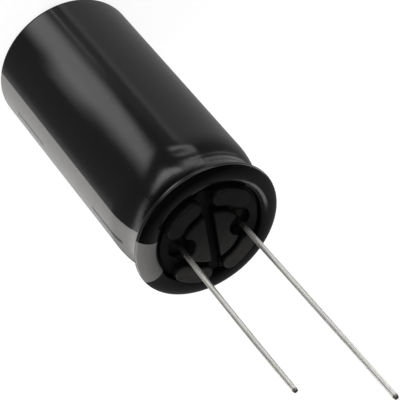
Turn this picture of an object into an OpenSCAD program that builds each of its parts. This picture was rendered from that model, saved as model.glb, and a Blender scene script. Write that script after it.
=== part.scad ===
// Radial electrolytic capacitor, standing on its closed end with both leads up.
// Millimetres. The origin is the centre of the closed end and +Z runs towards the leads.

/* [Can] */
// Outside diameter of the drawn aluminium can
can_d = 18; // [16:0.5:22]
// Height of the can from its closed end to the crest of its rolled rim
can_h = 36.65; // [30:0.05:50]
// Wall of the can
can_wall = 0.3; // [0.2:0.05:0.4]
// Inside bend radius at the closed end
corner_bend = 0.35; // [0.2:0.05:1]

/* [Vent] */
// Length of each scored line on the closed end
vent_l = 10; // [6:0.5:12]
// Depth of the score
vent_depth = 0.15; // [0.05:0.05:0.15]

/* [Rolled rim] */
// Distance that the rim stands out past the body
rim_flare = 0.1; // [-0.1:0.02:0.2]
// Depth of the bead that grips the bung
bead_depth = 1.25; // [1:0.05:1.5]
// Radius of the tool that rolls the bead
bead_tool_r = 0.5; // [0.4:0.05:0.7]
// Slope of the bead on the side of the body
neck_flank = 27; // [22:1:32]
// Slope of the bead on the side of the rim
rim_flank = 75; // [65:1:85]
// Inside radius of the long shoulder below the bead
shoulder_bend = 10.5; // [8:0.5:13]
// Inside bend radius of the rim's outer edge
edge_bend = 0.1; // [0.1:0.05:0.3]
// Inside bend radius of the rim's crown
crown_bend = 1.3; // [1:0.05:1.8]
// Inside bend radius of the lip that bites into the bung
curl_bend = 0.15; // [0.1:0.05:0.3]

/* [Sleeve] */
// Wall of the heat-shrink sleeve
sleeve_wall = 0.15; // [0.1:0.01:0.2]
// Diameter that the sleeve leaves open over the closed end
sleeve_open_d = 14.4; // [10:0.2:15]
// Width of the printed stripe round the body, in degrees
stripe_angle = 40.2; // [20:0.2:60]
// Turn of the stripe's middle away from the negative lead, in degrees
stripe_turn = 1.8; // [-10:0.2:10]
// Depth of the printed ink in the sleeve
ink_depth = 0.05; // [0.02:0.01:0.06]

/* [Bung] */
// Height of the raised pads above the crest of the sleeved rim
pad_stand = 0.65; // [0.2:0.05:1]
// Height of the raised pads above the bung's face
pad_h = 1; // [0.5:0.05:1.3]
// Depth of the channels between the pads, below the face
channel_depth = 0.3; // [0.1:0.05:0.6]
// Thickness of the bung under its face
bung_h = 5.6; // [4:0.1:8]
// Turn of the moulded pads and channels about the middle, from square to the leads, in degrees
pad_turn = 2; // [-3:0.5:3]
// Radial width of each outer pad
outer_pad_w = 2.13; // [1.4:0.01:2.4]
// Angle from the line through the leads to the near end of an outer pad
outer_pad_start = 28; // [26:1:40]
// Width of the ring channel between the outer and inner pads
ring_channel_w = 0.83; // [0.5:0.01:1]
// Width of the straight channel between the two halves
slot_w = 1.2; // [0.8:0.05:1.6]
// Gap between an outer pad and the sleeve's lip, and between it and the straight channel
pad_gap = 0.15; // [0.05:0.05:0.3]
// Width of the moat between the bung's face and the sleeve's lip
moat_w = 0.4; // [0.3:0.05:0.6]
// Fillet along the top edges of the pads
pad_fillet = 0.25; // [0.1:0.05:0.4]
// Diameter of the recess round each lead
recess_d = 3.2; // [2.4:0.1:3.4]
// Depth of that recess below the bung's face
recess_depth = 0.7; // [0.5:0.1:2]

/* [Terminals] */
// Distance between the two leads at the bung
lead_pitch = 7.5; // [7:0.1:8]
// Diameter of the aluminium stub that passes through the bung
stub_d = 2; // [1.6:0.1:2.3]
// Height of the stub above the floor of its recess
stub_stand = 0.1; // [0.05:0.05:0.5]
// Height of the weld between stub and lead
weld_h = 0.2; // [0.1:0.05:0.5]
// Width of the weld round the lead
weld_w = 0.15; // [0.05:0.05:0.25]
// Length of the stub below the bung
stub_foot = 0.8; // [0.4:0.1:1.2]
// Length of the taper from the stub to its flat tab
tab_taper = 1; // [0.6:0.1:1.2]
// Width of the flat tab
tab_w = 2.4; // [1.8:0.1:3]
// Thickness of the flat tab
tab_t = 0.3; // [0.2:0.05:0.5]
// Distance from the end of the tab to the far end of the roll
tab_margin = 6; // [2:1:14]

/* [Leads] */
// Diameter of the tinned lead wire
lead_d = 0.65; // [0.5:0.05:0.9]
// Length of the positive lead above the bung's pads
positive_lead_l = 31; // [15:0.1:40]
// Length of the negative lead above the bung's pads
negative_lead_l = 24.4; // [12:0.1:36]
// Outward lean of the positive lead, in degrees
positive_lean = 1; // [0:0.1:3]
// Outward lean of the negative lead, in degrees
negative_lean = 0.5; // [0:0.1:3]

/* [Wound element] */
// Head space between the roll of foil and paper and the bung
head_gap = 2.55; // [2.2:0.05:6]
// Gap between the taped roll and the can
roll_gap = 0.35; // [0.1:0.05:0.5]
// Diameter of the roll's hollow centre
core_d = 3; // [2:0.5:4]
// Turns that show on each end of the roll
roll_turns = 11; // [6:1:14]
// Height that the paper stands above the foil on each end
paper_edge = 0.5; // [0.2:0.1:1]
// Thickness of the closing tape
tape_t = 0.08; // [0.05:0.01:0.12]
// Width of the closing tape
tape_w = 14; // [8:1:20]

/* [Hidden] */
$fn = 96;
arc_step = 12;
shoulder_step = 4.5;
past = 1;

can_r = can_d / 2;
floor_z = sleeve_wall;
crest_z = floor_z + can_h;
inner_r = can_r - can_wall;
inner_floor_z = floor_z + can_wall;

// Outside radii of the can's bends
corner_r = corner_bend + can_wall;
shoulder_r = shoulder_bend + can_wall;
edge_r = edge_bend + can_wall;
crown_r = crown_bend + can_wall;
curl_r = curl_bend + can_wall;

// Angles where the rim's arcs meet, from level and outwards, and where the lip ends
edge_turn = 41;
curl_start = 115;
lip_end = 190;

// Centres of the bends, as [radius, height]. Each arc runs tangent into the next.
corner_c = [can_r - corner_r, floor_z + corner_r];
edge_c = [can_r + rim_flare - edge_r, crest_z - crown_r + (crown_r - edge_r) * sin(edge_turn)];
crown_c = edge_c - (crown_r - edge_r) * [cos(edge_turn), sin(edge_turn)];
curl_c = crown_c + (crown_r - curl_r) * [cos(curl_start), sin(curl_start)];
bead_c_r = can_r - bead_depth + bead_tool_r;
bead_rise = (edge_r + bead_tool_r + (edge_c[0] - bead_c_r) * cos(rim_flank)) / sin(rim_flank);
bead_c = [bead_c_r, edge_c[1] - bead_rise];
shoulder_c_r = can_r - shoulder_r;
neck_rise = (shoulder_r + bead_tool_r - (bead_c_r - shoulder_c_r) * cos(neck_flank)) / sin(neck_flank);
shoulder_c = [shoulder_c_r, bead_c[1] - neck_rise];

// Levels and radii of the bung
lip_r = curl_c[0] - curl_r - sleeve_wall;
lip = on_arc(curl_c, curl_r + sleeve_wall, lip_end);
pad_top = crest_z + sleeve_wall + pad_stand;
face_z = pad_top - pad_h;
channel_z = face_z - channel_depth;
root_z = min(channel_z, lip[1]) - channel_depth;
bung_z = face_z - bung_h;
recess_z = face_z - recess_depth;
outer_pad_r = lip_r - pad_gap - outer_pad_w / 2;
inner_pad_r = lip_r - pad_gap - outer_pad_w - ring_channel_w;

// Places of the terminals and the roll
stub_x = lead_pitch / 2;
stub_top = recess_z + stub_stand;
weld_top = stub_top + weld_h;
taper_z = bung_z - stub_foot - tab_taper;
roll_top = bung_z - head_gap;
roll_h = roll_top - inner_floor_z;
tab_end = inner_floor_z + tab_margin;
roll_r = inner_r - roll_gap - tape_t;

// Point on a circle of the half section
function on_arc(centre, radius, angle) = centre + radius * [cos(angle), sin(angle)];

// Points of an arc, both ends included
function arc(centre, radius, from, to, step = arc_step) =
    let (steps = max(2, ceil(abs(to - from) / step)))
    [for (i = [0:steps]) on_arc(centre, radius, from + (to - from) * i / steps)];

// The same points without the first one, to follow a tangent arc
function arc_on(centre, radius, from, to) =
    let (points = arc(centre, radius, from, to))
    [for (i = [1:len(points) - 1]) points[i]];

function reversed(points) = [for (i = [len(points) - 1:-1:0]) points[i]];

// Corner at the closed end. Every wall is parallel to the can's outer face: out is the distance
// from that face, positive for the sleeve over it and negative for the can's inside.
function corner(out) = arc(corner_c, corner_r + out, -90, 0);

// Shoulder, bead and rolled rim at the same distance from the can's outer face
function rim(out, end = lip_end) = concat(
    arc(shoulder_c, shoulder_r + out, 0, neck_flank, shoulder_step),
    arc(bead_c, bead_tool_r - out, 180 + neck_flank, 180 - rim_flank),
    arc(edge_c, edge_r + out, -rim_flank, edge_turn),
    arc_on(crown_c, crown_r + out, edge_turn, curl_start),
    arc_on(curl_c, curl_r + out, curl_start, end));

// Half section of a wall between two distances from the can's outer face
function wall(low, high, start_r, end = lip_end) = concat(
    [[start_r, floor_z - high]], corner(high), rim(high, end),
    reversed(rim(low, end)), reversed(corner(low)), [[start_r, floor_z - low]]);

// Half of a pad's section, from its middle to its side, with a fillet on the top edge
function half_pad(half_w) = concat(
    [[0, root_z], [half_w, root_z]],
    arc([half_w - pad_fillet, pad_top - pad_fillet], pad_fillet, 0, 90),
    [[0, pad_top]]);

// The sleeve before its stripe is printed, from the closed end to the lip inside the rim
module plain_sleeve() {
    rotate_extrude()
        polygon(wall(0, sleeve_wall, sleeve_open_d / 2));
}

// Space of the printed ink, open to the outside and past both ends of the sleeve
module ink_space() {
    rotate([0, 0, 180 + stripe_turn - stripe_angle / 2])
        rotate_extrude(angle = stripe_angle)
            polygon(wall(sleeve_wall - ink_depth, sleeve_wall + ink_depth,
                         sleeve_open_d / 2 - past, lip_end + arc_step));
}

module sleeve() {
    color("#1c1b1f")
        difference() {
            plain_sleeve();
            ink_space();
        }
}

// Grey field along the negative side, level with the sleeve
module polarity_stripe() {
    color("#9a9a9c")
        intersection() {
            plain_sleeve();
            ink_space();
        }
}

// V-shaped groove across the closed end
module score() {
    rotate([90, 0, 0])
        linear_extrude(vent_l, center = true)
            polygon([[-vent_depth - past, floor_z - past], [vent_depth + past, floor_z - past],
                     [0, floor_z + vent_depth]]);
}

// Drawn cup with its bead and rolled rim, and the vent scored into its closed end
module can() {
    color("#c4c6c9")
        difference() {
            rotate_extrude()
                polygon(wall(-can_wall, 0, 0));
            score();
            rotate([0, 0, 90])
                score();
        }
}

// Pad that follows the ring, with full round ends
module outer_pad() {
    half_w = outer_pad_w / 2;
    end_turn = asin(half_w / outer_pad_r);
    near = outer_pad_start + end_turn;
    far = acos((slot_w / 2 + pad_gap + half_w) / outer_pad_r);
    section = half_pad(half_w);
    rotate([0, 0, near])
        rotate_extrude(angle = far - near)
            translate([outer_pad_r, 0]) {
                polygon(section);
                mirror([1, 0])
                    polygon(section);
            }
    for (end = [[near, 180], [far, 0]])
        rotate([0, 0, end[0]])
            translate([outer_pad_r, 0, 0])
                rotate([0, 0, end[1]])
                    rotate_extrude(angle = 180)
                        polygon(section);
}

// D-shaped pad between the straight channel and the ring channel
module inner_pad() {
    side_w = inner_pad_r + past;
    intersection() {
        rotate_extrude()
            polygon(half_pad(inner_pad_r));
        translate([slot_w / 2 + side_w, 0, 0])
            rotate([90, 0, 0])
                linear_extrude(2 * side_w, center = true)
                    mirror([1, 0])
                        polygon(half_pad(side_w));
    }
}

// Bung without pads: it fills the rim under the can's lip, and its face carries the channels
module bung_body() {
    difference() {
        rotate_extrude()
            intersection() {
                polygon(concat([[0, inner_floor_z], [inner_r, inner_floor_z]], rim(-can_wall),
                               [lip, [lip[0] - moat_w, lip[1]], [lip[0] - moat_w, face_z], [0, face_z]]));
                translate([0, bung_z])
                    square([can_d, pad_top]);
            }
        rotate_extrude()
            translate([inner_pad_r - pad_fillet, channel_z])
                square([ring_channel_w + 2 * pad_fillet, channel_depth + past]);
        translate([-slot_w / 2, -can_r, channel_z])
            cube([slot_w, can_d, channel_depth + past]);
    }
}

// Moulded rubber bung with its stand-off pads, lead recesses and terminal bores. The bores are
// turned back from the moulding, onto the line of the leads.
module bung() {
    color("#2b2a2c")
        rotate([0, 0, pad_turn])
            difference() {
                union() {
                    bung_body();
                    for (side = [0, 1])
                        mirror([side, 0, 0]) {
                            inner_pad();
                            outer_pad();
                            mirror([0, 1, 0])
                                outer_pad();
                        }
                }
                for (x = [-stub_x, stub_x])
                    rotate([0, 0, -pad_turn])
                        translate([x, 0, 0]) {
                            translate([0, 0, recess_z])
                                cylinder(h = pad_top + past - recess_z, d = recess_d);
                            translate([0, 0, bung_z - past])
                                cylinder(h = recess_z + 2 * past - bung_z, d = stub_d);
                        }
            }
}

// Flat tab of a terminal, which also cuts its own slot in the roll
module tab() {
    translate([-tab_t / 2, -tab_w / 2, tab_end])
        cube([tab_t, tab_w, taper_z - tab_end]);
}

// Aluminium stub, swaged flat at its foot and welded to the lead at its head
module terminal() {
    tab();
    translate([0, 0, taper_z])
        cylinder(h = tab_taper, d1 = tab_t, d2 = stub_d);
    translate([0, 0, taper_z + tab_taper])
        cylinder(h = stub_top - taper_z - tab_taper, d = stub_d);
    translate([0, 0, stub_top])
        cylinder(h = weld_h, d1 = stub_d, d2 = lead_d + 2 * weld_w);
}

module positive_terminal() {
    color("#b9bcc0")
        translate([stub_x, 0, 0])
            terminal();
}

module negative_terminal() {
    color("#b9bcc0")
        translate([-stub_x, 0, 0])
            terminal();
}

// Straight tinned wire from the weld to its cut tip, leaning away from the other lead
module lead(length, lean) {
    difference() {
        translate([0, 0, weld_top])
            rotate([0, lean, 0])
                translate([0, 0, -past])
                    cylinder(h = pad_top - weld_top + length + past, d = lead_d);
        translate([-past, -past, weld_top - 2 * past])
            cube(2 * past);
    }
}

module positive_lead() {
    color("#c8c9ca")
        translate([stub_x, 0, 0])
            lead(positive_lead_l, positive_lean);
}

module negative_lead() {
    color("#c8c9ca")
        translate([-stub_x, 0, 0])
            lead(negative_lead_l, -negative_lean);
}

// Roll of foil and paper, with the paper's turns standing proud on both ends
module wound_element() {
    turn = (roll_r - core_d / 2) / (roll_turns + 0.5);
    color("#b8ab8e")
        difference() {
            rotate_extrude()
                difference() {
                    translate([core_d / 2, inner_floor_z])
                        square([roll_r - core_d / 2, roll_h]);
                    for (i = [0:roll_turns - 1])
                        for (z = [inner_floor_z, roll_top])
                            translate([core_d / 2 + (i + 0.5) * turn, z - paper_edge])
                                square([turn / 2, 2 * paper_edge]);
                }
            for (x = [-stub_x, stub_x])
                translate([x, 0, 0])
                    tab();
        }
}

// Band of tape that keeps the roll closed
module closing_tape() {
    color("#c9b26a")
        translate([0, 0, (inner_floor_z + roll_top - tape_w) / 2])
            difference() {
                cylinder(h = tape_w, r = roll_r + tape_t);
                translate([0, 0, -past])
                    cylinder(h = tape_w + 2 * past, r = roll_r);
            }
}

sleeve();
polarity_stripe();
can();
bung();
positive_terminal();
negative_terminal();
positive_lead();
negative_lead();
wound_element();
closing_tape();
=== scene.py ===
import math

import bmesh
import bpy
import numpy as np
from mathutils import Matrix, Vector


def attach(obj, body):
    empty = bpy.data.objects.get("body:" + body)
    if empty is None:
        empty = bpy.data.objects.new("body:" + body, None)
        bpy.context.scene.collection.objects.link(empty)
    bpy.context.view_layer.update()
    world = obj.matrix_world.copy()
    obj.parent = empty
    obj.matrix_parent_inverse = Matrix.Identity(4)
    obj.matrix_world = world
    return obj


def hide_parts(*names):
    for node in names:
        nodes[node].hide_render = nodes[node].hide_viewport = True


# Radial electrolytic capacitor: finishes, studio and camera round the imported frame.
# Lengths are in millimetres until mm() turns them into Blender's metres, and angles are in degrees.
# An angle round the axis counts from +X, the side of the positive lead.

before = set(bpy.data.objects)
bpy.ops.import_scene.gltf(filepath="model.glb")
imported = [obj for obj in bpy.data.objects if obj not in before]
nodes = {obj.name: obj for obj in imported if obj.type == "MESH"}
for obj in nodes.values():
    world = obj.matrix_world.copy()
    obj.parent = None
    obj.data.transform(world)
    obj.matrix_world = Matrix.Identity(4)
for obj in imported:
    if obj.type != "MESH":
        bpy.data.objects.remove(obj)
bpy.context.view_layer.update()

# Viewpoint of the photograph, with the capacitor standing on its closed end
CAMERA_PLACE = (-66.182, 161.830, 181.994)
CAMERA_AIM = (1.463, 0.614, 32.028)
CAMERA_ROLL = -139.85
CAMERA_LENS = 180.44
SENSOR = 36.0
CLIP = (5.0, 10000.0)

# Sleeve and rolled rim, as in the construction: each arc's centre as (radius, height) and its radius,
# and the angle at which one arc of the half section ends and the next starts
BODY_R = 9.15
FILM = 0.15
OPEN_R = 7.2
CORNER = ((8.35, 0.80), 0.80)
SHOULDER = ((-1.80, 29.7688), 10.95)
BEAD = ((8.25, 34.9349), 0.35)
RIM_EDGE = ((8.70, 35.9873), 0.55)
CROWN = ((7.79435, 35.2000), 1.75)
CURL = ((7.30834, 36.2423), 0.60)
NECK_FLANK = 27
RIM_FLANK = 75
EDGE_TURN = 41
CURL_START = 115
LIP_END = 190

# Mesh of the sleeve: segments round it, the radius of the ring that its section is swept along,
# and the height from which its rows lie close enough for creases
SLEEVE_SEGMENTS = 560
SLEEVE_HUB_R = 1.0
CREASED_FROM = 26.0
# Steps along the half section on its face and on its back: body, creased body, shoulder and other arcs
FACE_STEPS = (1.2, 0.4, 0.9, 8.0)
BACK_STEPS = (6.0, 2.0, 5.0, 22.0)
# Points along the flat ledge that the film makes under the closed end
LEDGE_POINTS = 5

# Ripples of the shrunk film: how far they draw in, how wide they are, how fast they change along
# the axis against round it, and their seed
RIPPLE_DEPTH = 0.05
RIPPLE_LENGTH = 6.0
RIPPLE_ALONG = 0.3
RIPPLE_SEED = 3.0

# Folds and creases of the film: (angle, height) of both ends, width and depth
CREASES = [
    ((97, 31.7), (84, 32.1), 0.55, 0.035),
    ((88, 33.35), (30, 33.05), 0.16, 0.016),
    ((84, 33.90), (34, 33.60), 0.16, 0.018),
    ((183, 26.5), (173.6, 33.4), 0.22, 0.030),
    ((205, 33.0), (215, 34.6), 0.45, 0.050),
    ((238, 32.2), (246, 34.4), 0.40, 0.045),
    ((262, 33.3), (275, 33.9), 0.45, 0.040),
    ((300, 31.8), (309, 34.2), 0.40, 0.050),
    ((331, 33.0), (344, 34.2), 0.40, 0.040),
    ((8, 32.5), (17, 34.3), 0.45, 0.045),
    ((86.5, 28.4), (86.6, 28.4), 0.16, 0.035),
]
CREASE_LIMIT = 0.12
# Share of half a wave that a crease's depth leaves out at each end
CREASE_END = 0.15

# Fine pleats round the neck: how many go round, phase and depth
PLEATS = [(149, 0.4, 0.004), (113, 1.9, 0.005), (74, 3.1, 0.005)]
PLEAT_LIFT = 0.002
# How many times their phase drifts on the way round, and how far
PLEAT_DRIFT = (5, 0.8)
# Heights where they start, are full, fade and end
PLEAT_HEIGHTS = (32.8, 33.8, 35.3, 35.8)

# Polarity stripe round the body, and the heights over which its low edge spreads on the shrunk rim
STRIPE_MIDDLE = 181.8
STRIPE_LOW_HALF = 19.4
STRIPE_HIGH_HALF = 20.3
STRIPE_SPREAD = 2.3
STRIPE_SPREAD_FROM = 33.3
STRIPE_SPREAD_TO = 36.2
STRIPE_BLUR = 0.25
# Minus marks along the stripe, one in every two pitches, since each pitch is the mirror of the last.
# A mark's end and its side each lie between two values, where its ink starts and ends to fade.
MARK_PITCH = 10.0
MARK_SHIFT = 1.4
MARK_END = (6.4, 6.5)
MARK_SIDE = (0.28, 0.36)
MARK_STRENGTH = 0.75
# Heights over which the stripe darkens towards black on the rim, as painted shade, and its share
RIM_SHADE_HEIGHTS = (35.0, 36.4)
RIM_SHADE_SHARE = 0.2

# Bung: heights between which a pad's flank turns into its top, and the places along Y between
# which the tops turn from clean to paler, which is painted light on the far pads
PAD_FLANK = (37.3, 37.58)
PAINTED_LIGHT_SIDE = (3.0, -5.0)

# Leads: place at the weld, lean from upright, length from weld to tip, step aside at the weld
# and bend at the tip
LEAD_R = 0.325
WELD_TOP = 36.2
POSITIVE_LEAD = (3.75, 1.0, 32.4, 0.0, -0.03)
NEGATIVE_LEAD = (-3.75, -0.5, 25.8, -0.17, 0.20)
WELD_STEP_L = 1.2
WIRE_SIDES = 40
# Nip of a cut tip: its length and the share of the wire's radius that is left
NIP_L = 0.35
NIP_SHARE = 0.8
# Points along a lead, and along its nip
LEAD_POINTS = 40
NIP_POINTS = 6

# Floor: half its side, and how far it lies under the closed end, so that neither hides the other
FLOOR_HALF = 3000.0
FLOOR_DROP = 0.02
# Its colour to the part, its colour and glow to the camera, and its level in mirrors
FLOOR_COLOUR = 0.8
FLOOR_VEIL = 0.35
FLOOR_GLOW = 0.86
FLOOR_MIRRORED = 0.18

# Surroundings: levels that mirrored rays see behind the part and round the photographer, the share
# of facing the photographer at which each is reached, and the level of the soft light
DOME_BACK = 0.19
DOME_FRONT = 0.01
DOME_BACK_AT = -0.75
DOME_FRONT_AT = 0.1
SOFT_LIGHT = 0.36

# Softboxes that face the bung: azimuth, elevation, distance, size and radiance
LAMPS = {
    "side_box": (195, 8, 260, (200, 120), 4.4),
    "back_box": (285, 25, 280, (120, 120), 2.0),
}
LAMP_AIM = (0, 0, 34)

# Cards that only mirrored rays see, each with soft edges: its two sides, its low and high edge at
# the first side and at the second, the level at each side, the soft share of its width at each side
# and of its height at each edge. A card on the floor lies where the sleeve mirrors it to the camera,
# between angles and heights on the sleeve.
FLOOR_CARDS = [
    ("right_floor_card", (14, 90), (0.3, 52), (0.3, 62), (0.06, 0.32), (0.10, 0.012), (0.0, 0.48)),
    ("edge_floor_card", (83, 90), (0.3, 52), (0.3, 45), (0.22, 0.22), (0.60, 0.10), (0.0, 0.40)),
    ("gap_floor_card", (90, 99), (0.3, 40), (0.3, 26), (0.14, 0.14), (0.08, 0.15), (0.0, 0.40)),
    ("seam_floor_card", (94.4, 97.6), (0.3, 17), (0.3, 17), (0.60, 0.60), (0.40, 0.40), (0.0, 0.40)),
    ("strip_floor_card", (96, 126), (0.3, 16), (0.3, 80), (1.75, 1.75), (0.38, 0.46), (0.0, 0.42)),
    ("swell_floor_card", (111, 132), (6, 21), (6, 20), (0.85, 0.85), (0.42, 0.42), (0.35, 0.35)),
    ("left_floor_card", (153, 206), (0.3, 30.5), (0.3, 30.5), (0.46, 0.46), (0.22, 0.0), (0.0, 0.0)),
    ("upper_fold_card", (81, 99), (50, 84), (33, 52), (1.7, 2.0), (0.30, 0.25), (0.30, 0.30)),
    ("lower_fold_card", (80, 98), (88, 180), (84, 180), (1.5, 1.9), (0.25, 0.20), (0.30, 0.30)),
]
CARD_LIFT = 0.02
# A card on the wall stands round the part, between azimuths and heights above the floor
WALL_CARDS = [
    ("far_left_wall_card", (186, 242), (22, 37), (0.5, 29), (1.6, 2.6), (0.18, 0.10), (0.35, 0.20)),
    ("near_left_wall_card", (140, 197), (30, 37), (22, 38), (0.7, 2.0), (0.20, 0.20), (0.35, 0.30)),
    ("right_wall_card", (-22, 58), (0.5, 28), (24, 42), (2.4, 0.8), (0.12, 0.20), (0.40, 0.25)),
    ("front_wall_card", (40, 100), (24, 41), (26, 40), (0.9, 0.9), (0.20, 0.10), (0.40, 0.30)),
    ("front_wall_fold", (84, 106), (32, 36), (19, 36), (1.8, 2.8), (0.10, 0.0), (0.20, 0.15)),
    ("front_wall_turn", (106, 140), (19, 36), (33, 36), (2.8, 1.8), (0.0, 0.15), (0.20, 0.15)),
]
WALL_R = 70.0
CARD_STEPS = (28, 10)

# Disc just above the bung for the leads: its level rises along one direction, comes up with the
# distance from the nearest weld, and falls off again further out
LEAD_CARD_Z = 37.68
LEAD_CARD_R = 60.0
LEAD_CARD_SIDES = 48
LEAD_CARD_TOWARDS = 60.0
LEAD_CARD_ACROSS = (-6.0, 9.0)
LEAD_CARD_LEVELS = (0.24, 0.47)
LEAD_CARD_RISE = (0.8, 6.0)
LEAD_CARD_RISE_LEVELS = (0.01, 1.0)
LEAD_CARD_FALL = (10.0, 34.0)
LEAD_CARD_FALL_LEVELS = (1.0, 0.55)

# Small strip close to the rim, mirrored on its inner slope: centre, width, height, the point that
# it faces, and its level
CROWN_CARD = ((7.6, -2.7, 41.3), 2.0, 1.9, (7.0, 2.8, 36.9))
CROWN_CARD_LEVEL = 1.7

SQUARE = ((-1, -1), (1, -1), (1, 1), (-1, 1))
WHITE = (1.0, 1.0, 1.0, 1.0)


def mm(value):
    """Millimetres as metres, for a number or a row of numbers."""
    if isinstance(value, (int, float)):
        return value * 0.001
    return Vector(value) * 0.001


def colour(code):
    """An sRGB hex colour as linear RGBA."""
    parts = [int(code[i:i + 2], 16) / 255 for i in (1, 3, 5)]
    linear = [p / 12.92 if p <= 0.04045 else ((p + 0.055) / 1.055) ** 2.4 for p in parts]
    return (*linear, 1.0)


def grey(level):
    """A linear grey as RGBA."""
    return (level, level, level, 1.0)


def add(tree, kind, links=None, **settings):
    """A new node with its settings. links gives its inputs a value, a socket, or a node, which
    stands for its first output."""
    node = tree.nodes.new(kind)
    for name, value in settings.items():
        setattr(node, name, value)
    for key, value in (links or {}).items():
        source = value.outputs[0] if isinstance(value, bpy.types.Node) else value
        if isinstance(source, bpy.types.NodeSocket):
            tree.links.new(source, node.inputs[key])
        else:
            node.inputs[key].default_value = source
    return node


def new_material(name):
    """An empty node material and its tree."""
    mat = bpy.data.materials.new(name)
    mat.use_nodes = True
    mat.node_tree.nodes.clear()
    return mat, mat.node_tree


def millimetres(tree, turn=0.0):
    """The piece's own coordinates in millimetres, turned round the axis."""
    coords = add(tree, "ShaderNodeTexCoord")
    return add(tree, "ShaderNodeMapping",
               {"Vector": coords.outputs["Object"], "Rotation": (0.0, 0.0, math.radians(turn)),
                "Scale": (1000.0, 1000.0, 1000.0)})


def grain(tree, place, size, detail=2.0, stretch=(1.0, 1.0, 1.0)):
    """A cloudy pattern from 0 to 1, whose grain is size millimetres across."""
    scaled = add(tree, "ShaderNodeMapping", {"Vector": place, "Scale": stretch})
    return add(tree, "ShaderNodeTexNoise", {"Vector": scaled, "Scale": 1.0 / size, "Detail": detail})


def link_mesh(name, verts, edges=(), faces=(), mat=None):
    """A new mesh object from points in millimetres."""
    mesh = bpy.data.meshes.new(name)
    mesh.from_pydata([[mm(c) for c in v] for v in verts], edges, faces)
    obj = bpy.data.objects.new(name, mesh)
    bpy.context.scene.collection.objects.link(obj)
    if mat:
        mesh.materials.append(mat)
    return obj


# Studio

def look_from(place, aim, roll=0.0):
    """A matrix at place that looks at aim, rolled about its line of sight."""
    back = (place - aim).normalized()
    side = Vector((0, 0, 1)).cross(back).normalized()
    up = back.cross(side)
    turned = Matrix((side, up, back)).transposed() @ Matrix.Rotation(math.radians(-roll), 3, "Z")
    return Matrix.Translation(place) @ turned.to_4x4()


def make_camera():
    data = bpy.data.cameras.new("photo_camera")
    data.lens = CAMERA_LENS
    data.sensor_width = SENSOR
    data.clip_start = mm(CLIP[0])
    data.clip_end = mm(CLIP[1])
    camera = bpy.data.objects.new("photo_camera", data)
    bpy.context.scene.collection.objects.link(camera)
    camera.matrix_world = look_from(mm(CAMERA_PLACE), mm(CAMERA_AIM), CAMERA_ROLL)
    bpy.context.scene.camera = camera


def glow_in_mirrors(tree, level):
    """Finishes a card: every ray passes it, and mirrored rays see its glow as well."""
    rays = add(tree, "ShaderNodeLightPath").outputs
    clear = add(tree, "ShaderNodeBsdfTransparent")
    strength = add(tree, "ShaderNodeMath", {0: rays["Is Glossy Ray"], 1: level}, operation="MULTIPLY")
    glow = add(tree, "ShaderNodeEmission", {"Color": WHITE, "Strength": strength})
    both = add(tree, "ShaderNodeAddShader", {0: clear, 1: glow})
    add(tree, "ShaderNodeOutputMaterial", {"Surface": both})


def soft_edge(share, low, high):
    """1 inside a card, falling smoothly to 0 over the soft shares at its two ends."""
    rise = min(1.0, share / low) if low else 1.0
    fall = min(1.0, (1 - share) / high) if high else 1.0
    edge = min(rise, fall)
    return edge * edge * (3 - 2 * edge)


def between(ends, share):
    """The value at a share of the way from one end to the other."""
    return ends[0] + (ends[1] - ends[0]) * share


def make_card(mat, place, name, sides, first_edges, second_edges, levels, side_soft, edge_soft):
    """A grid of points that place gives for an angle and a height, with its level at each."""
    wide, high = CARD_STEPS
    verts, glow, faces = [], [], []
    for i in range(wide + 1):
        u = i / wide
        angle = between(sides, u)
        low = between((first_edges[0], second_edges[0]), u)
        top = between((first_edges[1], second_edges[1]), u)
        level = between(levels, u) * soft_edge(u, *side_soft)
        for j in range(high + 1):
            v = j / high
            verts.append(place(angle, between((low, top), v)))
            glow.append(level * soft_edge(v, *edge_soft))
    for i in range(wide):
        for j in range(high):
            first = i * (high + 1) + j
            faces.append((first, first + 1, first + high + 2, first + high + 1))
    card = link_mesh(name, verts, faces=faces, mat=mat)
    card.data.attributes.new("level", "FLOAT", "POINT").data.foreach_set("value", glow)


def mirrored_on_floor(angle, height):
    """Where the camera sees the floor mirrored in the sleeve, at an angle and height on it."""
    normal = Vector((math.cos(math.radians(angle)), math.sin(math.radians(angle)), 0))
    point = Vector((BODY_R * normal.x, BODY_R * normal.y, height))
    view = (Vector(CAMERA_PLACE) - point).normalized()
    ray = 2 * normal.dot(view) * normal - view
    return point - ray * (height / ray.z)


def on_wall(azimuth, height):
    """A point of the round wall."""
    turn = math.radians(azimuth)
    return Vector((WALL_R * math.cos(turn), WALL_R * math.sin(turn), height))


def make_cards():
    """The cards on the floor, each a little above the last, and on the wall."""
    mat, tree = new_material("soft_card")
    glow_in_mirrors(tree, add(tree, "ShaderNodeAttribute", attribute_name="level").outputs["Fac"])
    for number, row in enumerate(FLOOR_CARDS, 1):
        lift = Vector((0, 0, CARD_LIFT * number))
        make_card(mat, lambda angle, height: mirrored_on_floor(angle, height) + lift, *row)
    for row in WALL_CARDS:
        make_card(mat, on_wall, *row)


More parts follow.
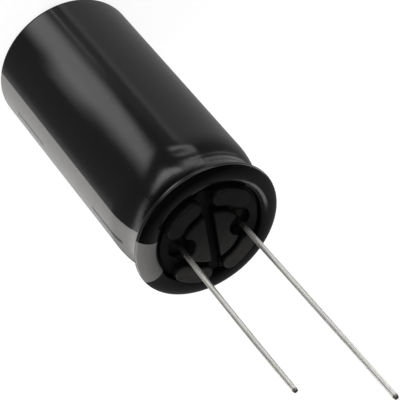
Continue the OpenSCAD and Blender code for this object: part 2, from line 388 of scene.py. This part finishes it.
def make_lead_card():
    """The disc above the bung, which only shows from above, so that the leads alone mirror it."""
    mat, tree = new_material("lead_card")
    place = millimetres(tree)
    turn = math.radians(LEAD_CARD_TOWARDS)
    across = add(tree, "ShaderNodeVectorMath", {0: place, 1: (math.cos(turn), math.sin(turn), 0)},
                 operation="DOT_PRODUCT")
    flat = add(tree, "ShaderNodeVectorMath", {0: place, 1: (1, 1, 0)}, operation="MULTIPLY")
    folded = add(tree, "ShaderNodeVectorMath", {0: flat}, operation="ABSOLUTE")
    away = add(tree, "ShaderNodeVectorMath", {0: folded, 1: (POSITIVE_LEAD[0], 0, 0)}, operation="DISTANCE")
    parts = [
        (across, LEAD_CARD_ACROSS, LEAD_CARD_LEVELS, "LINEAR"),
        (away, LEAD_CARD_RISE, LEAD_CARD_RISE_LEVELS, "SMOOTHSTEP"),
        (away, LEAD_CARD_FALL, LEAD_CARD_FALL_LEVELS, "LINEAR"),
    ]
    back = add(tree, "ShaderNodeNewGeometry").outputs["Backfacing"]
    level = add(tree, "ShaderNodeMath", {0: 1.0, 1: back}, operation="SUBTRACT")
    for source, (start, end), (start_level, end_level), kind in parts:
        share = add(tree, "ShaderNodeMapRange",
                    {"Value": source.outputs["Value"], "From Min": start, "From Max": end,
                     "To Min": start_level, "To Max": end_level}, interpolation_type=kind)
        level = add(tree, "ShaderNodeMath", {0: level, 1: share}, operation="MULTIPLY")
    glow_in_mirrors(tree, level)
    turns = [2 * math.pi * i / LEAD_CARD_SIDES for i in range(LEAD_CARD_SIDES)]
    rim = [(LEAD_CARD_R * math.cos(a), LEAD_CARD_R * math.sin(a), LEAD_CARD_Z) for a in turns]
    link_mesh("lead_card", rim, faces=[tuple(range(LEAD_CARD_SIDES))], mat=mat)


def make_crown_card():
    """The small strip, turned to face the rim."""
    mat, tree = new_material("crown_card")
    glow_in_mirrors(tree, CROWN_CARD_LEVEL)
    centre, width, height, aim = CROWN_CARD
    stand = look_from(Vector(centre), Vector(aim))
    corners = [stand @ Vector((x * width / 2, y * height / 2, 0)) for x, y in SQUARE]
    link_mesh("crown_card", corners, faces=[(0, 1, 2, 3)], mat=mat)


def floor_material():
    """White sweep: white to the camera apart from a light shadow, and dim to mirrored rays, which
    see the soft cards on it."""
    mat, tree = new_material("white_sweep")
    rays = add(tree, "ShaderNodeLightPath").outputs
    lit = add(tree, "ShaderNodeBsdfDiffuse", {"Color": grey(FLOOR_COLOUR)})
    veil = add(tree, "ShaderNodeBsdfDiffuse", {"Color": grey(FLOOR_VEIL)})
    glow = add(tree, "ShaderNodeEmission", {"Color": WHITE, "Strength": FLOOR_GLOW})
    seen = add(tree, "ShaderNodeAddShader", {0: veil, 1: glow})
    mirrored = add(tree, "ShaderNodeEmission", {"Color": WHITE, "Strength": FLOOR_MIRRORED})
    by_camera = add(tree, "ShaderNodeMixShader", {0: rays["Is Camera Ray"], 1: lit, 2: seen})
    both = add(tree, "ShaderNodeMixShader", {0: rays["Is Glossy Ray"], 1: by_camera, 2: mirrored})
    add(tree, "ShaderNodeOutputMaterial", {"Surface": both})
    return mat


def make_floor():
    """A square just under the closed end."""
    corners = [(x * FLOOR_HALF, y * FLOOR_HALF, -FLOOR_DROP) for x, y in SQUARE]
    link_mesh("white_sweep", corners, faces=[(0, 1, 2, 3)], mat=floor_material())


def make_world():
    """White behind everything. Mirrored rays see a dim studio, darkest round the photographer.
    All other rays see an even soft light."""
    world = bpy.data.worlds.new("studio")
    world.use_nodes = True
    tree = world.node_tree
    tree.nodes.clear()
    rays = add(tree, "ShaderNodeLightPath").outputs
    coords = add(tree, "ShaderNodeTexCoord").outputs["Generated"]
    towards = Vector((CAMERA_PLACE[0], CAMERA_PLACE[1], 0)).normalized()
    facing = add(tree, "ShaderNodeVectorMath", {0: coords, 1: towards}, operation="DOT_PRODUCT")
    dim = add(tree, "ShaderNodeMapRange",
              {"Value": facing.outputs["Value"], "From Min": DOME_BACK_AT, "From Max": DOME_FRONT_AT,
               "To Min": DOME_BACK, "To Max": DOME_FRONT})
    soft = add(tree, "ShaderNodeMapRange", {"Value": rays["Is Camera Ray"], "To Min": SOFT_LIGHT})
    mirrored = add(tree, "ShaderNodeMath", {0: rays["Is Glossy Ray"], 1: rays["Is Transmission Ray"]},
                   operation="MAXIMUM")
    level = add(tree, "ShaderNodeMix", {0: mirrored, 2: soft, 3: dim}, data_type="FLOAT")
    shade = add(tree, "ShaderNodeBackground", {"Color": WHITE, "Strength": level})
    add(tree, "ShaderNodeOutputWorld", {"Surface": shade})
    bpy.context.scene.world = world


def make_lamp(name, azimuth, elevation, distance, size, radiance):
    """A softbox of the given radiance, in the given direction from the bung."""
    data = bpy.data.lights.new(name, "AREA")
    data.shape = "RECTANGLE"
    data.size = mm(size[0])
    data.size_y = mm(size[1])
    data.energy = radiance * math.pi * data.size * data.size_y
    lamp = bpy.data.objects.new(name, data)
    bpy.context.scene.collection.objects.link(lamp)
    lamp.visible_camera = False
    lamp.visible_glossy = False
    turn, rise = math.radians(azimuth), math.radians(elevation)
    aim = Vector(LAMP_AIM)
    outwards = Vector((math.cos(turn) * math.cos(rise), math.sin(turn) * math.cos(rise), math.sin(rise)))
    lamp.matrix_world = look_from(mm(aim + distance * outwards), mm(aim))


def make_studio():
    make_camera()
    make_floor()
    make_cards()
    make_lead_card()
    make_crown_card()
    make_world()
    for name, row in LAMPS.items():
        make_lamp(name, *row)


# Materials

# A Mix node for colours takes its share at input 0 and the two colours at 6 and 7, and gives the
# blend at output 2

def printed_stripe(tree, place, film):
    """The share of ink on the sleeve and its colour: a grey stripe with minus marks along its
    middle. place is turned so that the stripe lies round -X."""
    axes = add(tree, "ShaderNodeSeparateXYZ", {0: place}).outputs
    behind = add(tree, "ShaderNodeMath", {0: axes["X"], 1: -1.0}, operation="MULTIPLY")
    turn = add(tree, "ShaderNodeMath", {0: axes["Y"], 1: behind}, operation="ARCTAN2")
    angle = add(tree, "ShaderNodeMath", {0: turn}, operation="DEGREES")
    low_half = add(tree, "ShaderNodeMapRange",
                   {"Value": axes["Z"], "From Min": STRIPE_SPREAD_FROM, "From Max": STRIPE_SPREAD_TO,
                    "To Min": STRIPE_LOW_HALF, "To Max": STRIPE_LOW_HALF + STRIPE_SPREAD})
    past_low = add(tree, "ShaderNodeMath", {0: low_half, 1: angle}, operation="SUBTRACT")
    past_high = add(tree, "ShaderNodeMath", {0: angle, 1: STRIPE_HIGH_HALF}, operation="ADD")
    inside = add(tree, "ShaderNodeMath", {0: past_low, 1: past_high}, operation="MINIMUM")
    stripe = add(tree, "ShaderNodeMapRange",
                 {"Value": inside, "From Min": -STRIPE_BLUR, "From Max": STRIPE_BLUR})

    raised = add(tree, "ShaderNodeMath", {0: axes["Z"], 1: MARK_SHIFT}, operation="ADD")
    beat = add(tree, "ShaderNodeMath", {0: raised, 1: MARK_PITCH}, operation="PINGPONG")
    along = add(tree, "ShaderNodeMapRange",
                {"Value": beat, "From Min": MARK_END[0], "From Max": MARK_END[1]})
    aside = add(tree, "ShaderNodeMath", {0: turn}, operation="ABSOLUTE")
    across = add(tree, "ShaderNodeMath", {0: aside, 1: BODY_R}, operation="MULTIPLY")
    within = add(tree, "ShaderNodeMapRange",
                 {"Value": across, "From Min": MARK_SIDE[0], "From Max": MARK_SIDE[1],
                  "To Min": MARK_STRENGTH, "To Max": 0.0})
    mark = add(tree, "ShaderNodeMath", {0: along, 1: within}, operation="MULTIPLY")

    speckle = grain(tree, place, 0.5, 4.0)
    ink = add(tree, "ShaderNodeMix", {0: speckle, 6: colour("#8a8987"), 7: colour("#949391")},
              data_type="RGBA")
    marked = add(tree, "ShaderNodeMix", {0: mark, 6: ink.outputs[2], 7: colour("#2c2c30")},
                 data_type="RGBA")
    # Painted shade: over the rim the stripe turns darker towards black, where the rim is less lit
    rim_shade = add(tree, "ShaderNodeMapRange",
                    {"Value": axes["Z"], "From Min": RIM_SHADE_HEIGHTS[0], "From Max": RIM_SHADE_HEIGHTS[1],
                     "To Max": RIM_SHADE_SHARE})
    worn = add(tree, "ShaderNodeMix", {0: rim_shade, 6: marked.outputs[2], 7: colour("#0b0b10")},
               data_type="RGBA")
    printed = add(tree, "ShaderNodeMix", {0: stripe, 6: film.outputs[2], 7: worn.outputs[2]},
                  data_type="RGBA")
    return stripe, printed


def sleeve_film():
    """Heat-shrink PVC film, dyed black, with a stripe printed in grey ink: a smooth calendered skin
    that shrank unevenly, so that its mirror image of the studio wavers. The ink is a little duller."""
    mat, tree = new_material("heat_shrink_pvc_film")
    place = millimetres(tree, 180.0 - STRIPE_MIDDLE)
    dye = grain(tree, place, 3.0)
    film = add(tree, "ShaderNodeMix", {0: dye, 6: colour("#09090a"), 7: colour("#0d0c0e")},
               data_type="RGBA")
    stripe, printed = printed_stripe(tree, place, film)
    haze = grain(tree, place, 2.0)
    rough = add(tree, "ShaderNodeMapRange",
                {"Value": haze, "From Min": 0.3, "From Max": 0.7, "To Min": 0.13, "To Max": 0.19})
    inked = add(tree, "ShaderNodeMath", {0: stripe, 1: 0.08, 2: rough}, operation="MULTIPLY_ADD")
    # Orange peel, drawn coarser than the real one so that it shows, and longer waves along the film
    peel = add(tree, "ShaderNodeBump", {"Height": grain(tree, place, 0.35, 3.0), "Distance": mm(0.004)})
    waves = grain(tree, place, 2.2, 1.0, (1.0, 1.0, 0.35))
    wavy = add(tree, "ShaderNodeBump", {"Height": waves, "Distance": mm(0.02), "Normal": peel})
    shader = add(tree, "ShaderNodeBsdfPrincipled",
                 {"Base Color": printed.outputs[2], "Roughness": inked, "Normal": wavy, "IOR": 1.53})
    add(tree, "ShaderNodeOutputMaterial", {"Surface": shader})
    return mat


def bung_rubber():
    """Moulded EPDM rubber: dull black with the grain of an eroded mould, drawn a little coarser than
    the real one so that it shows. The tops of the pads are paler than the rest, and paler still
    towards -Y, which is painted light on the far pads."""
    mat, tree = new_material("moulded_epdm_rubber")
    place = millimetres(tree)
    axes = add(tree, "ShaderNodeSeparateXYZ", {0: place}).outputs
    dust = grain(tree, place, 0.45, 5.0)
    dark = add(tree, "ShaderNodeMix", {0: dust, 6: colour("#080708"), 7: colour("#191819")},
               data_type="RGBA")
    clean = add(tree, "ShaderNodeMix", {0: dust, 6: colour("#0e0e0d"), 7: colour("#282726")},
                data_type="RGBA")
    # Painted light: the pale tops towards -Y stand in for the far pads catching more light
    worn = add(tree, "ShaderNodeMix", {0: dust, 6: colour("#272625"), 7: colour("#474543")},
               data_type="RGBA")
    painted_light_share = add(tree, "ShaderNodeMapRange",
                 {"Value": axes["Y"], "From Min": PAINTED_LIGHT_SIDE[0], "From Max": PAINTED_LIGHT_SIDE[1]},
                 interpolation_type="SMOOTHSTEP")
    pale = add(tree, "ShaderNodeMix", {0: painted_light_share, 6: clean.outputs[2], 7: worn.outputs[2]},
               data_type="RGBA")
    top = add(tree, "ShaderNodeMapRange",
              {"Value": axes["Z"], "From Min": PAD_FLANK[0], "From Max": PAD_FLANK[1]})
    base = add(tree, "ShaderNodeMix", {0: top, 6: dark.outputs[2], 7: pale.outputs[2]},
               data_type="RGBA")
    moulded = add(tree, "ShaderNodeBump",
                  {"Height": grain(tree, place, 0.12, 3.0), "Distance": mm(0.012)})
    shader = add(tree, "ShaderNodeBsdfPrincipled",
                 {"Base Color": base.outputs[2], "Roughness": 0.62, "Normal": moulded, "IOR": 1.5,
                  "Specular IOR Level": 0.35})
    add(tree, "ShaderNodeOutputMaterial", {"Surface": shader})
    return mat


def tinned_wire():
    """Tin-plated copper-clad steel wire: bright, with lines along it from the drawing die, which are
    finer on the real one, and bare dull steel where the cutter went through."""
    mat, tree = new_material("tin_plated_wire")
    place = millimetres(tree)
    cloud = grain(tree, place, 0.8, 3.0)
    plate = add(tree, "ShaderNodeMix", {0: cloud, 6: colour("#c3c2be"), 7: colour("#d6d5d1")},
                data_type="RGBA")
    cut = add(tree, "ShaderNodeAttribute", attribute_name="cut_end").outputs["Fac"]
    base = add(tree, "ShaderNodeMix", {0: cut, 6: plate.outputs[2], 7: colour("#9a9894")},
               data_type="RGBA")
    bright = add(tree, "ShaderNodeMapRange",
                 {"Value": cloud, "From Min": 0.3, "From Max": 0.7, "To Min": 0.22, "To Max": 0.34})
    rough = add(tree, "ShaderNodeMath", {0: cut, 1: 0.3, 2: bright}, operation="MULTIPLY_ADD")
    lines = grain(tree, place, 0.05, 2.0, (1.0, 1.0, 0.02))
    drawn = add(tree, "ShaderNodeBump", {"Height": lines, "Distance": mm(0.004)})
    shader = add(tree, "ShaderNodeBsdfPrincipled",
                 {"Base Color": base.outputs[2], "Roughness": rough, "Normal": drawn, "Metallic": 1.0})
    add(tree, "ShaderNodeOutputMaterial", {"Surface": shader})
    return mat


def aluminium(name, low, high, rough_low, rough_high, stretch):
    """Bare aluminium with the marks of its forming, drawn out where stretch is small."""
    mat, tree = new_material(name)
    marks = grain(tree, millimetres(tree), 0.15, 3.0, stretch)
    base = add(tree, "ShaderNodeMix", {0: marks, 6: colour(low), 7: colour(high)}, data_type="RGBA")
    rough = add(tree, "ShaderNodeMapRange",
                {"Value": marks, "From Min": 0.3, "From Max": 0.7,
                 "To Min": rough_low, "To Max": rough_high})
    worn = add(tree, "ShaderNodeBump", {"Height": marks, "Distance": mm(0.006)})
    shader = add(tree, "ShaderNodeBsdfPrincipled",
                 {"Base Color": base.outputs[2], "Roughness": rough, "Normal": worn, "Metallic": 1.0})
    add(tree, "ShaderNodeOutputMaterial", {"Surface": shader})
    return mat


def drawn_can():
    """Deep-drawn aluminium: satin, with the lines of the punch along the wall."""
    return aluminium("deep_drawn_aluminium", "#b9bbbe", "#cfd1d3", 0.24, 0.36, (1.0, 1.0, 0.1))


def swaged_terminal():
    """Swaged aluminium, dull, and darkened as painted shade for the recess that it sits in."""
    return aluminium("swaged_aluminium_painted_shade", "#3c3b39", "#52514e", 0.5, 0.65, (1.0, 1.0, 1.0))


def roll_paper():
    """Kraft separator paper soaked with electrolyte: fibrous, pale brown and slightly wet."""
    mat, tree = new_material("soaked_kraft_paper")
    fibres = grain(tree, millimetres(tree), 0.4, 4.0, (1.0, 1.0, 0.3))
    base = add(tree, "ShaderNodeMix", {0: fibres, 6: colour("#9a8762"), 7: colour("#c4b28a")},
               data_type="RGBA")
    soft = add(tree, "ShaderNodeBump", {"Height": fibres, "Distance": mm(0.03)})
    shader = add(tree, "ShaderNodeBsdfPrincipled",
                 {"Base Color": base.outputs[2], "Roughness": 0.55, "Normal": soft})
    add(tree, "ShaderNodeOutputMaterial", {"Surface": shader})
    return mat


def tape_film():
    """Polypropylene adhesive tape: thin, yellowish and smooth, with faint stretch lines."""
    mat, tree = new_material("polypropylene_tape")
    lines = grain(tree, millimetres(tree), 0.3, 2.0, (1.0, 1.0, 6.0))
    base = add(tree, "ShaderNodeMix", {0: lines, 6: colour("#b79a52"), 7: colour("#cdb46e")},
               data_type="RGBA")
    drawn = add(tree, "ShaderNodeBump", {"Height": lines, "Distance": mm(0.01)})
    shader = add(tree, "ShaderNodeBsdfPrincipled",
                 {"Base Color": base.outputs[2], "Roughness": 0.3, "Normal": drawn})
    add(tree, "ShaderNodeOutputMaterial", {"Surface": shader})
    return mat


# Geometry trees

def new_tree(name, inputs):
    """A geometry tree and its inputs: a mesh, and the named ones after it."""
    tree = bpy.data.node_groups.new(name, "GeometryNodeTree")
    tree.interface.new_socket("Geometry", in_out="INPUT", socket_type="NodeSocketGeometry")
    for label, kind in inputs.items():
        tree.interface.new_socket(label, in_out="INPUT", socket_type=kind)
    tree.interface.new_socket("Geometry", in_out="OUTPUT", socket_type="NodeSocketGeometry")
    return tree, add(tree, "NodeGroupInput").outputs


def finish_tree(tree, mesh, material):
    """Ends a geometry tree with smooth faces, real instances and the material."""
    smooth = add(tree, "GeometryNodeSetShadeSmooth", {"Geometry": mesh})
    real = add(tree, "GeometryNodeRealizeInstances", {"Geometry": smooth})
    coated = add(tree, "GeometryNodeSetMaterial", {"Geometry": real, "Material": material})
    add(tree, "NodeGroupOutput", {0: coated})


def run_tree(path, tree, values):
    """Runs a geometry tree on an object and returns the result as a plain mesh object."""
    modifier = path.modifiers.new(tree.name, "NODES")
    modifier.node_group = tree
    for item in tree.interface.items_tree:
        if item.in_out == "INPUT" and item.name in values:
            modifier[item.identifier] = values[item.name]
    bpy.context.view_layer.update()
    evaluated = path.evaluated_get(bpy.context.evaluated_depsgraph_get())
    mesh = bpy.data.meshes.new_from_object(evaluated)
    made = bpy.data.objects.new(path.name.removesuffix("_path"), mesh)
    bpy.context.scene.collection.objects.link(made)
    bpy.data.objects.remove(path)
    return made


def lathe_tree():
    """Turns a closed half section round the axis. The section's X is its radius past the hub
    and its Y the height downwards. The film's outer face is drawn in by uneven shrinkage."""
    tree, given = new_tree("shrunk_lathe", {
        "Segments": "NodeSocketInt", "Hub radius": "NodeSocketFloat", "Ripple depth": "NodeSocketFloat",
        "Ripple length": "NodeSocketFloat", "Seed": "NodeSocketFloat", "Material": "NodeSocketMaterial"})
    section = add(tree, "GeometryNodeMeshToCurve", {"Mesh": given["Geometry"]})
    ring = add(tree, "GeometryNodeCurvePrimitiveCircle",
               {"Resolution": given["Segments"], "Radius": given["Hub radius"]})
    turned = add(tree, "GeometryNodeCurveToMesh", {"Curve": ring, "Profile Curve": section})

    spot = add(tree, "GeometryNodeInputPosition")
    squeezed = add(tree, "ShaderNodeVectorMath", {0: spot, 1: (1.0, 1.0, RIPPLE_ALONG)},
                   operation="MULTIPLY")
    scale = add(tree, "ShaderNodeMath", {0: 1.0, 1: given["Ripple length"]}, operation="DIVIDE")
    ripple = add(tree, "ShaderNodeTexNoise",
                 {"Vector": squeezed, "W": given["Seed"], "Scale": scale, "Detail": 1.0},
                 noise_dimensions="4D")
    depth = add(tree, "ShaderNodeMath", {0: ripple, 1: given["Ripple depth"]}, operation="MULTIPLY")
    outer = add(tree, "GeometryNodeInputNamedAttribute", {"Name": "outer_face"}, data_type="FLOAT")
    on_face = add(tree, "ShaderNodeMath", {0: depth, 1: outer}, operation="MULTIPLY")
    inward = add(tree, "ShaderNodeVectorMath", {0: spot, 1: (-1.0, -1.0, 0.0)}, operation="MULTIPLY")
    unit = add(tree, "ShaderNodeVectorMath", {0: inward}, operation="NORMALIZE")
    offset = add(tree, "ShaderNodeVectorMath", {0: unit, "Scale": on_face}, operation="SCALE")
    moved = add(tree, "GeometryNodeSetPosition", {"Geometry": turned, "Offset": offset})
    finish_tree(tree, moved, given["Material"])
    return tree


def wire_tree():
    """A round wire along a path, nipped narrower at its cut end, which cut_end marks."""
    tree, given = new_tree("drawn_wire", {
        "Radius": "NodeSocketFloat", "Sides": "NodeSocketInt", "Nip length": "NodeSocketFloat",
        "Nip share": "NodeSocketFloat", "Material": "NodeSocketMaterial"})
    line = add(tree, "GeometryNodeMeshToCurve", {"Mesh": given["Geometry"]})
    reach = add(tree, "GeometryNodeSplineParameter").outputs["Length"]
    whole = add(tree, "GeometryNodeSplineLength").outputs["Length"]
    left = add(tree, "ShaderNodeMath", {0: whole, 1: reach}, operation="SUBTRACT")
    cut = add(tree, "ShaderNodeMapRange",
              {"Value": left, "From Max": given["Nip length"], "To Min": 1.0, "To Max": 0.0})
    marked = add(tree, "GeometryNodeStoreNamedAttribute",
                 {"Geometry": line, "Name": "cut_end", "Value": cut}, data_type="FLOAT", domain="POINT")
    ring = add(tree, "GeometryNodeCurvePrimitiveCircle",
               {"Resolution": given["Sides"], "Radius": given["Radius"]})
    slim = add(tree, "ShaderNodeMapRange",
               {"Value": left, "From Max": given["Nip length"], "To Min": given["Nip share"]},
               interpolation_type="SMOOTHSTEP")
    tube = add(tree, "GeometryNodeCurveToMesh",
               {"Curve": marked, "Profile Curve": ring, "Scale": slim, "Fill Caps": True})
    finish_tree(tree, tube, given["Material"])
    return tree


# Pieces

def arc(bend, start, end, step, out):
    """Points of an arc of the half section, both ends included, out millimetres from its face."""
    (centre_r, centre_z), radius = bend
    count = max(2, math.ceil(abs(end - start) / step))
    reach = radius + out
    angles = np.radians(np.linspace(start, end, count + 1))
    return [(centre_r + reach * math.cos(a), centre_z + reach * math.sin(a)) for a in angles]


def half_section(out, steps):
    """The sleeve's half section from its open edge to its lip, out millimetres from its face."""
    body_step, crease_step, shoulder_step, arc_step = steps
    shoulder_z = SHOULDER[0][1]
    plain = np.arange(CORNER[0][1] + body_step, CREASED_FROM, body_step)
    creased = np.arange(CREASED_FROM, shoulder_z, crease_step)
    body = [(BODY_R + out, z) for z in (*plain, *creased)]
    ledge = [(r, -out) for r in np.linspace(OPEN_R, CORNER[0][0], LEDGE_POINTS)]
    return (ledge[:-1] + arc(CORNER, -90, 0, arc_step, out) + body
            + arc(SHOULDER, 0, NECK_FLANK, shoulder_step, out)
            + arc(BEAD, 180 + NECK_FLANK, 180 - RIM_FLANK, arc_step, -out)
            + arc(RIM_EDGE, -RIM_FLANK, EDGE_TURN, arc_step, out)
            + arc(CROWN, EDGE_TURN, CURL_START, arc_step, out)[1:]
            + arc(CURL, CURL_START, LIP_END, arc_step, out)[1:])


def pleat_depth(angle, height):
    """Depth of the pleats that the film took up when it shrank into the neck."""
    turn = np.radians(angle)
    times, far = PLEAT_DRIFT
    drift = far * np.sin(times * turn)
    waves = sum(deep * np.sin(count * turn + phase + drift) for count, phase, deep in PLEATS)
    return np.interp(height, PLEAT_HEIGHTS, (0, 1, 1, 0)) * np.maximum(waves + PLEAT_LIFT, 0)


def crease_depth(angle, height, start, end, width, deep):
    """Depth of a groove between two points of the sleeve, shallower towards its ends."""
    per_degree = math.radians(1) * BODY_R
    u = ((angle - start[0] + 180) % 360 - 180) * per_degree
    v = height - start[1]
    du, dv = (end[0] - start[0]) * per_degree, end[1] - start[1]
    along = np.clip((u * du + v * dv) / (du * du + dv * dv), 0, 1)
    gap = np.hypot(u - along * du, v - along * dv)
    taper = np.sin(np.pi * (CREASE_END + (1 - 2 * CREASE_END) * along))
    return deep * taper * np.exp(-(gap / width) ** 2)


def press_creases(sleeve):
    """Presses the pleats and creases into the outer face, towards the axis."""
    mesh = sleeve.data
    count = len(mesh.vertices)
    points = np.empty(count * 3)
    mesh.vertices.foreach_get("co", points)
    points = points.reshape(-1, 3) * 1000
    outer = np.empty(count)
    mesh.attributes["outer_face"].data.foreach_get("value", outer)
    angle = np.degrees(np.arctan2(points[:, 1], points[:, 0])) % 360
    height = points[:, 2]
    depth = pleat_depth(angle, height)
    for crease in CREASES:
        depth += crease_depth(angle, height, *crease)
    depth = np.minimum(depth, CREASE_LIMIT) * outer
    radius = np.hypot(points[:, 0], points[:, 1])
    points[:, :2] *= ((radius - depth) / radius)[:, None]
    mesh.vertices.foreach_set("co", (points * 0.001).ravel())
    mesh.update()


def close_mesh(obj):
    """Merges doubles and turns all faces outwards."""
    work = bmesh.new()
    work.from_mesh(obj.data)
    bmesh.ops.remove_doubles(work, verts=work.verts, dist=1e-8)
    bmesh.ops.recalc_face_normals(work, faces=work.faces)
    work.to_mesh(obj.data)
    work.free()


def make_sleeve():
    face = half_section(0.0, FACE_STEPS)
    back = half_section(-FILM, BACK_STEPS)
    section = [(r - SLEEVE_HUB_R, -z, 0.0) for r, z in face + back[::-1]]
    count = len(section)
    path = link_mesh("shrunk_sleeve_path", section, edges=[(i, (i + 1) % count) for i in range(count)])
    outer = path.data.attributes.new("outer_face", "FLOAT", "POINT")
    outer.data.foreach_set("value", [1.0 if i < len(face) else 0.0 for i in range(count)])
    sleeve = run_tree(path, lathe_tree(), {
        "Segments": SLEEVE_SEGMENTS, "Hub radius": mm(SLEEVE_HUB_R), "Ripple depth": mm(RIPPLE_DEPTH),
        "Ripple length": mm(RIPPLE_LENGTH), "Seed": RIPPLE_SEED, "Material": sleeve_film()})
    press_creases(sleeve)
    close_mesh(sleeve)
    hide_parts("sleeve", "polarity_stripe")
    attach(sleeve, "root")


def make_lead(name, node, tree, metal, place, lean, length, step, bend):
    """A lead from its weld to its cut tip, with the last stretch sampled finely for the nip."""
    start = Vector((place, 0, WELD_TOP))
    along = Vector((math.sin(math.radians(lean)), 0, math.cos(math.radians(lean))))
    across = Vector((along.z, 0, -along.x))
    reaches = [*np.linspace(0, length - 2 * NIP_L, LEAD_POINTS),
               *np.linspace(length - NIP_L, length, NIP_POINTS)]
    aside = [step * (1 - math.exp(-r / WELD_STEP_L)) + bend * (r / length) ** 3 for r in reaches]
    points = [start + along * r + across * a for r, a in zip(reaches, aside)]
    path = link_mesh(name + "_path", points, edges=[(i, i + 1) for i in range(len(points) - 1)])
    wire = run_tree(path, tree, {
        "Radius": mm(LEAD_R), "Sides": WIRE_SIDES, "Nip length": mm(NIP_L), "Nip share": NIP_SHARE,
        "Material": metal})
    close_mesh(wire)
    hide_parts(node)
    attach(wire, "root")


def dress(node, mat):
    """Gives a CAD node its material."""
    mesh = nodes[node].data
    mesh.materials.clear()
    mesh.materials.append(mat)


def make_part():
    make_sleeve()
    metal = tinned_wire()
    tree = wire_tree()
    make_lead("long_wire", "positive_lead", tree, metal, *POSITIVE_LEAD)
    make_lead("short_wire", "negative_lead", tree, metal, *NEGATIVE_LEAD)
    dress("bung", bung_rubber())
    dress("can", drawn_can())
    # The terminals' dark colour is painted shade for their recess in the bung
    swaged = swaged_terminal()
    dress("positive_terminal", swaged)
    dress("negative_terminal", swaged)
    dress("wound_element", roll_paper())
    dress("closing_tape", tape_film())


make_studio()
make_part()
bpy.context.scene.view_settings.view_transform = "Standard"
